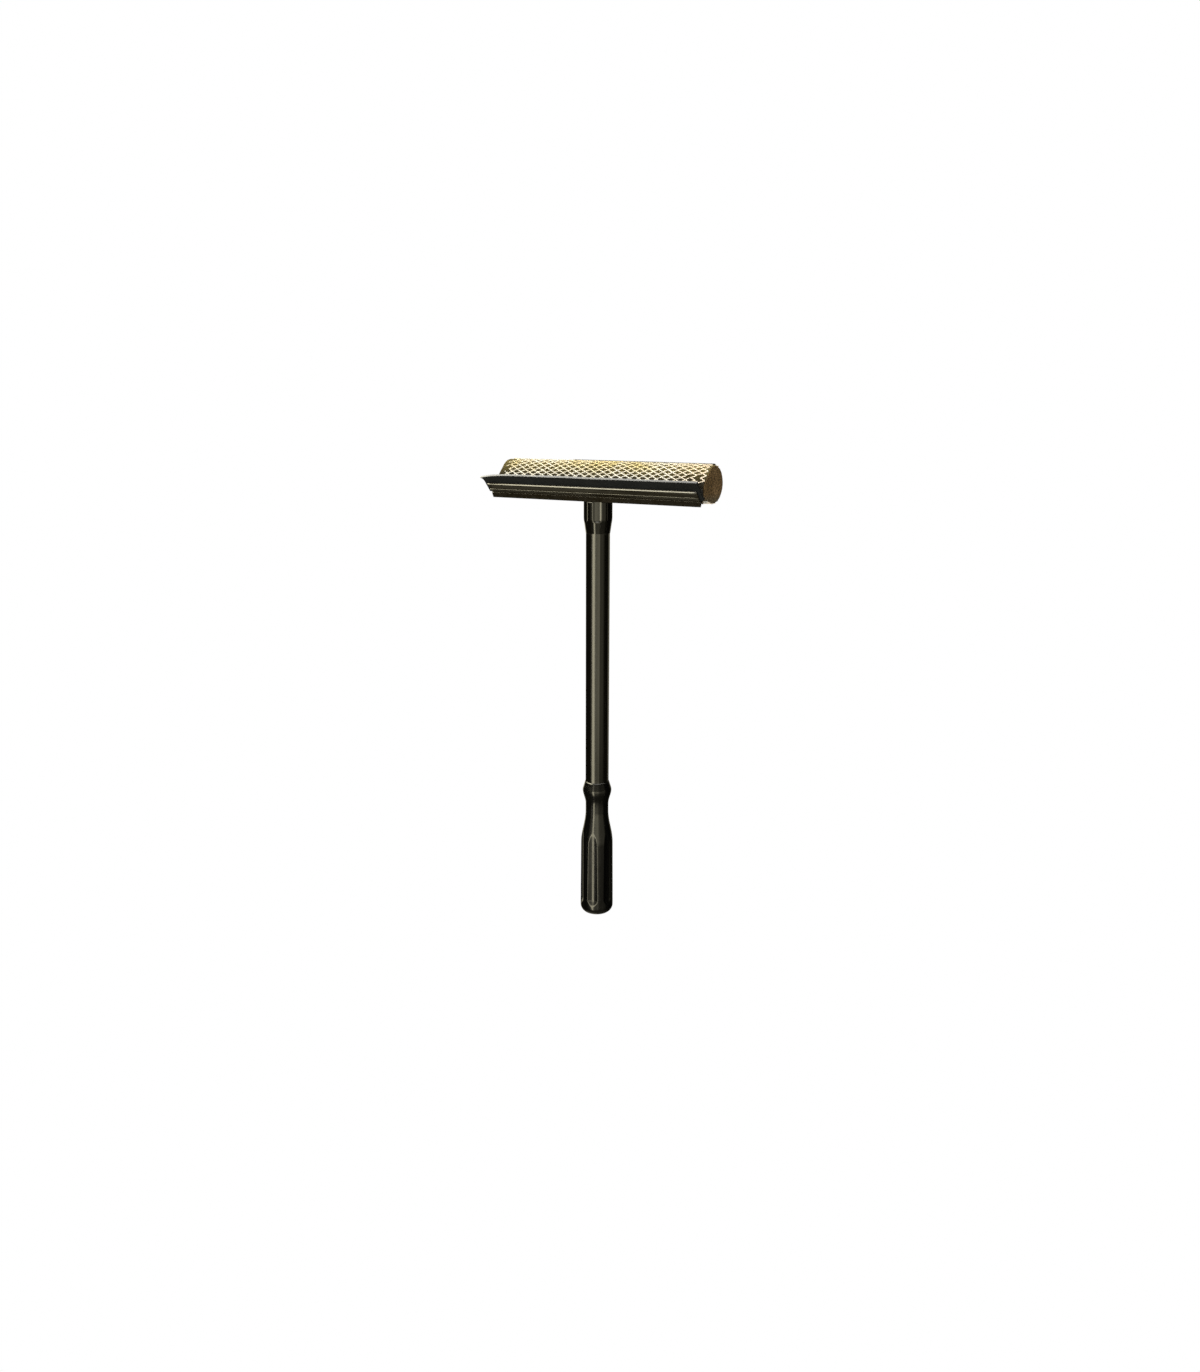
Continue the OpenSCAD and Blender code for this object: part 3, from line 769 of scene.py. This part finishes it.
def make_jaw(material):
    """The strip that holds the blade from the front: a rolled top edge, a groove and a bead."""
    half = node_box("blade_jaw")[1][0]
    back, front = -0.12, -1.22
    loop = [(back, -2.6)] + [(back, s) for s in steps(-1.5, JAW_TOP - 0.15, 3)]
    loop += [(back - 0.08, JAW_TOP), (back - 0.25, JAW_TOP + 0.02)]
    loop += arc((back - 1.47, JAW_TOP - 0.86), 0.30, 116, 200, 8)
    loop += [(front - 0.42, JAW_TOP - 1.25), (front - 0.16, JAW_TOP - 1.8)]
    loop += [(front - 0.12, 7.4), (front, 6.2), (front + 0.03, 5.0), (front + 0.05, 4.1),
             (front - 0.02, 3.85)]
    loop += arc((front - 0.22, 3.36), 0.42, 96, 206, 10)
    loop += [(front - 0.3, 2.2), (front + 0.1, 1.1), (front + 0.2, -1.62)]
    loop += arc((front + 0.2, -1.9), 0.3, 110, 250, 6)
    loop += [(front + 0.2, -2.45), (front + 0.35, -2.6)]
    swept("blade_jaw_strip", loop, half, 0.10, materials=[material], body="handle",
          slot="black_plastic", stands_for=["blade_jaw"])


# ---------------------------------------------------------------- sponge and net
NET_T = 0.9
ROLL_Y, ROLL_UP, ROLL_R = 16.4, 16.8, 16.2
NECK_TIP, NECK_UP, FRONT_Y, FRONT_TOP = -9.0, 2.1, -5.4, 16.9
RAIL_Y = (node_box("sponge_rail")[0][1], node_box("sponge_rail")[1][1])
RAIL_TOP = node_box("sponge_rail")[1][2]
NET_X = (node_box("net_cover")[0][0], node_box("net_cover")[1][0])
CELL_X, CELL_ROUND = 8.55, 4.95


def sponge_outline():
    """The netted sponge's outline as a loop of (y, z), starting at the neck's tip."""
    roll = arc((ROLL_Y, ROLL_UP), ROLL_R, 134, -125.4, 60)
    corners = [(NECK_TIP, NECK_UP), (FRONT_Y, NECK_UP + FRONT_Y - NECK_TIP),
               (FRONT_Y, FRONT_TOP)] + roll + [(3.9, 3.6), (3.4, NECK_UP)]
    radii = [0.5, 1.2, 2.5] + [2.0] + [0] * (len(roll) - 2) + [1.0] + [0.8, 0.4]
    return rounded(corners, radii) + np.array([0, head_z])


class Wrap:
    """The surface that the net lies on: a length round the outline, and a distance out."""

    def __init__(self):
        self.loop, self.length = even(sponge_outline(), 0.25)
        self.normal = outward(self.loop)
        for _ in range(6):
            self.normal = (self.normal + np.roll(self.normal, 1, 0)
                           + np.roll(self.normal, -1, 0)) / 3
        self.normal /= np.linalg.norm(self.normal, axis=1)[:, None]

    def at(self, p, out):
        """(y, z) at length p round the outline, pushed out by out."""
        k = (np.asarray(p) / self.length * len(self.loop)) % len(self.loop)
        low = np.floor(k).astype(int) % len(self.loop)
        share = (k - np.floor(k))[..., None]
        high = (low + 1) % len(self.loop)
        point = self.loop[low] * (1 - share) + self.loop[high] * share
        normal = self.normal[low] * (1 - share) + self.normal[high] * share
        return point + normal * np.asarray(out)[..., None]

    def free(self, p):
        """0 in the channel, where the neck is held, and 1 where the net is free."""
        height = self.at(p, np.zeros_like(p))[..., 1] - head_z
        return np.clip((height - 7.5) / 3, 0, 1)


wrap = Wrap()
PERIODS = round(wrap.length / CELL_ROUND)
ROUND = wrap.length / PERIODS
FIRST_X, LAST_X = NET_X[0] + 2.4, NET_X[1] - 2.8
STRANDS = int((LAST_X - FIRST_X) / (CELL_X / 2)) + 1
STRAND_GAP = (LAST_X - FIRST_X) / (STRANDS - 1)


def slack(x, p):
    """How far the net's mesh is pulled out of line, along X and round."""
    turn = p / wrap.length * WHOLE_TURN
    where = Vector((x / 26, math.cos(turn) * 1.6, math.sin(turn) * 1.6))
    middle = 1 - (x / LAST_X) ** 2
    along = noise.noise(where) * 0.7 - 4.2 * middle * math.sin(turn - 1.35)
    return along, noise.noise(where + Vector((7.3, 2.1, 5.5))) * 0.5


def zigzag(p):
    """-1 to 1 along a strand, resting a little at each knot."""
    return np.clip(1.16 * (2 / math.pi) * np.arcsin(0.995 * np.sin(WHOLE_TURN * p / ROUND)), -1, 1)


def strand_x(k, p):
    return FIRST_X + k * STRAND_GAP + (-1) ** k * (STRAND_GAP / 2) * zigzag(p)


def near_strand(x, p):
    """Distance in millimetres from a point of the surface to the nearest strand."""
    k = (x - FIRST_X) / STRAND_GAP
    best = np.full(np.shape(x), 9.0)
    for guess in (-1, 0, 1, 2):
        strand = np.clip(np.floor(k) + guess, 0, STRANDS - 1)
        sign = 1 - 2 * (strand % 2)
        centre = FIRST_X + strand * STRAND_GAP + sign * (STRAND_GAP / 2) * zigzag(p)
        best = np.minimum(best, np.abs(x - centre) * 0.8)
    return best


def make_foam(material):
    """Foam body: swells between the strands, rounded rims, rough cut ends."""
    low, high = node_box("sponge_core")[0][0], node_box("sponge_core")[1][0]
    count = round(wrap.length / 0.75)
    p = np.arange(count) * wrap.length / count
    rims = [(0.0, 1.1), (0.25, 0.6), (0.7, 0.22), (1.3, 0.0)]
    xs = np.concatenate([[low + a for a, _ in rims], np.arange(low + 2.0, high - 1.9, 0.8),
                         [high - a for a, _ in rims[::-1]]])
    inset = np.concatenate([[d for _, d in rims], np.zeros(len(xs) - 2 * len(rims)),
                            [d for _, d in rims[::-1]]])
    free = wrap.free(p)
    held = 1 - free
    points = []
    for x, d in zip(xs, inset):
        pulls = np.array([slack(x, at) for at in p])
        press = np.exp(-(near_strand(x - pulls[:, 0], p - pulls[:, 1]) / 0.75) ** 2)
        covered = float(NET_X[0] - 1 < x < NET_X[1] + 1)
        lumps = np.array([noise.noise(Vector((x / 5, at / 5, 1.7))) * 0.22
                          + noise.noise(Vector((x / 1.7, at / 1.7, 9.2))) * 0.10 for at in p])
        out = -NET_T - d + free * (0.28 - 0.62 * press * covered + lumps * (1.2 - 0.4 * covered))
        yz = wrap.at(p, out - 0.05 * held)
        points += [(x, y, z) for y, z in yz]
    points = np.array(points)
    rail = (points[:, 1] > RAIL_Y[0] - 0.15) & (points[:, 1] < RAIL_Y[1] + 0.15)
    under = points[:, 2] < RAIL_TOP + 0.1
    points[rail & under, 2] = RAIL_TOP + 0.1
    faces = []
    for k in range(len(xs) - 1):
        for i in range(count):
            j = (i + 1) % count
            faces.append((k * count + i, k * count + j, (k + 1) * count + j,
                          (k + 1) * count + i))
    points = points.tolist()
    for ring, out in ((0, -1), (len(xs) - 1, 1)):
        cap_end(points, faces, ring * count, count, out)
    foam = make_piece("sponge_foam", points, faces, [material], "sponge_refill", "foam",
                      ["sponge_core"])


def cap_end(points, faces, start, count, out):
    """Closes a ring of points with a slightly domed, uneven cut face."""
    ring = [Vector(points[start + i][1:]) for i in range(count)]
    edges = [(i, (i + 1) % count) for i in range(count)]
    low = [min(v[k] for v in ring) for k in (0, 1)]
    high = [max(v[k] for v in ring) for k in (0, 1)]
    inside = []
    rng = random.Random(11)
    for y in np.arange(low[0] + 0.6, high[0], 1.1):
        for z in np.arange(low[1] + 0.6, high[1], 1.1):
            spot = Vector((y + rng.uniform(-0.25, 0.25), z + rng.uniform(-0.25, 0.25)))
            if min((spot - v).length for v in ring) > 0.55:
                inside.append(spot)
    made = geometry.delaunay_2d_cdt(ring + inside, edges, [], 1, 1e-5)
    x_ring = points[start][0]
    index = []
    for spot, origins in zip(made[0], made[3]):
        old = [o for o in origins if o < count]
        if old:
            index.append(start + old[0])
            continue
        edge = min((spot - v).length for v in ring)
        dome = 0.9 * (1 - math.exp(-edge / 2.2))
        rough = 0.20 * noise.noise(Vector((spot[0] / 1.6, spot[1] / 1.6, 4.4 * out)))
        index.append(len(points))
        points.append([x_ring - out * (0.55 - dome * 0.6 - rough), spot[0], spot[1]])
    faces += [tuple(index[i] for i in face) for face in made[2]]


def tube(points, faces, uv, line, normals, wide, thick, sides=6):
    """Adds a closed-ended elliptical tube along a line, flattened against the surface."""
    line, normals = np.asarray(line), np.asarray(normals)
    ahead = np.gradient(line, axis=0)
    ahead /= np.linalg.norm(ahead, axis=1)[:, None]
    across = np.cross(ahead, normals)
    across /= np.linalg.norm(across, axis=1)[:, None]
    up = np.cross(across, ahead)
    gone = np.concatenate([[0], np.cumsum(np.linalg.norm(np.diff(line, axis=0), axis=1))])
    base = len(points)
    for i in range(len(line)):
        for k in range(sides):
            a = WHOLE_TURN * k / sides
            points.append(line[i] + across[i] * wide[i] * math.cos(a)
                          + up[i] * thick[i] * math.sin(a))
            uv.append((k / sides * 2, gone[i] * 0.55))
    for i in range(len(line) - 1):
        for k in range(sides):
            j = (k + 1) % sides
            low, high = base + i * sides, base + (i + 1) * sides
            faces.append((low + k, low + j, high + j, high + k))
    last = base + (len(line) - 1) * sides
    faces += [tuple(range(base, base + sides)), tuple(range(last, last + sides))]


def strand_run(k, first, last, rng, frayed):
    """Centre line, normals and half-sizes of a strand from half-period first to last."""
    p = np.arange(first * ROUND / 2, last * ROUND / 2 + 1e-6, ROUND / 12) - ROUND / 4
    x = strand_x(k, p)
    pulls = np.array([slack(a, b) for a, b in zip(x, p)])
    x, p = x + pulls[:, 0], p + pulls[:, 1]
    free = wrap.free(p)
    knot = np.abs(zigzag(p - pulls[:, 1])) ** 8
    thin = 0.86 + 0.2 * np.array([noise.noise(Vector((a / 9, b / 9, 3))) for a, b in zip(x, p)])
    wide = 0.64 * thin * (1 + 0.34 * knot)
    thick = np.where(free > 0, 0.44, 0.38) * (1 + 0.22 * knot * free)
    out = -0.42 + free * (0.10 + 0.12 * knot)
    if frayed:
        away = np.minimum(np.arange(len(p)), np.arange(len(p))[::-1])
        loose = np.clip(1 - away / 4, 0, 1)
        x = np.clip(x + loose * rng.uniform(-1.6, 1.6), NET_X[0] + 0.3, NET_X[1] - 0.3)
        out = out + loose * free * rng.uniform(0.1, 0.9)
        wide, thick = wide * (1 - 0.55 * loose), thick * (1 - 0.45 * loose)
    yz = wrap.at(p, out)
    tip = wrap.at(p, out + 1) - yz
    line = np.column_stack([x, yz])
    return line, np.column_stack([np.zeros(len(p)), tip]), wide, thick


def make_net(material):
    """The net: zigzag strands knotted to their neighbours, with torn cells and ragged ends."""
    rng = random.Random(23)
    points, faces, uv = [], [], []
    halves = 2 * PERIODS
    for k in range(STRANDS):
        x = FIRST_X + k * STRAND_GAP
        gone = set()
        for h in range(halves):
            spot = wrap.at(np.array((h + 0.5) * ROUND / 2 - ROUND / 4), np.array(0.0))
            y, z = spot[0], spot[1] - head_z
            end = k == 0 or k == STRANDS - 1
            lower_right = 60 < x < 97 and y < 4 and 9 < z < 22
            if z > 8 and rng.random() < (0.42 if end else 0.16 if lower_right else 0.004):
                gone.add(h)
        if not gone:
            runs = [(0, halves, False)]
        else:
            marks = sorted(gone)
            runs = [(a + 1, b, True) for a, b in zip(marks, marks[1:] + [marks[0] + halves])
                    if b > a + 1]
        for first, last, frayed in runs:
            tube(points, faces, uv, *strand_run(k, first, last, rng, frayed))
    net = make_piece("scrubbing_net", points, faces, [material], "sponge_refill", "net",
                     ["net_cover"], uv=uv)


def make_dark_top_line(material):
    """Two dark threads twisted together, laid along the top of the roll."""
    behind, across = np.radians(82), 1.9
    crest = np.array([ROLL_Y + ROLL_R * math.cos(behind),
                      head_z + ROLL_UP + ROLL_R * math.sin(behind)])
    gaps = np.linalg.norm(wrap.loop - crest, axis=1)
    middle = np.argmin(gaps) * wrap.length / len(wrap.loop)
    x = np.arange(-36.0, NET_X[1] - 0.5, 0.4)
    points, faces, uv = [], [], []
    for lay in (-1, 1):
        p = middle + lay * 0.35 * np.sin(x * math.pi / across) + 0.25 * np.sin(x / 9)
        out = 0.12 + 0.22 * lay * np.cos(x * math.pi / across)
        yz, tip = wrap.at(p, out), wrap.at(p, out + 1) - wrap.at(p, out)
        size = np.full(len(x), 0.42)
        tube(points, faces, uv, np.column_stack([x, yz]),
             np.column_stack([np.zeros(len(x)), tip]), size, size)
    make_piece("net_dark_top_line", points, faces, [material], "sponge_refill", "net", [], uv=uv)


# ---------------------------------------------------------------- assembly
bpy.context.scene.view_settings.view_transform = "Standard"
make_camera()
make_world()
make_floor()

shaft_black = moulded_plastic("shaft_plastic", (0.0016, 0.0014, 0.0009),
                              (0.0042, 0.0037, 0.0024), 0.07, 0.13)
grip_black = moulded_plastic("grip_plastic", (0.0010, 0.0010, 0.0008),
                             (0.0030, 0.0028, 0.0022), 0.12, 0.21, 0.014)
channel_black = moulded_plastic("channel_plastic", (0.0036, 0.0026, 0.0010),
                                (0.0120, 0.0088, 0.0036), 0.18, 0.28)
face_rubber = rubber("blade_rubber", (0.0026, 0.0031, 0.0031), (0.0062, 0.0070, 0.0068),
                     0.46, 0.62)
# Lighter than the face rubber: partly chalky wear on the cut face, partly a painted highlight on the
# blade's lit top edge.
cut_rubber_and_highlight = rubber("cut_rubber_and_highlight", (0.016, 0.016, 0.015), (0.036, 0.036, 0.033), 0.24, 0.40)
foam = foam_material()
yarn = net_material()
pale = pale_plastic()
steel = steel_material()

make_handle(grip_black, shaft_black)
softened("channel_bar", 0.34, channel_black, "handle")
make_jaw(channel_black)
softened("grip_end_cap", 0.25, grip_black, "handle")
softened("shaft_tenon", 0.20, shaft_black, "handle")
make_blade(face_rubber, cut_rubber_and_highlight)
make_foam(foam)
make_net(yarn)
make_dark_top_line(thread_material())
softened("sponge_rail", 0.20, pale, "sponge_refill")
for node, body in (("grip_pin", "handle"), ("tenon_screw", "handle"),
                   ("socket_screws", "handle"), ("net_staples", "sponge_refill")):
    softened(node, 0.10, steel, body, segments=2)
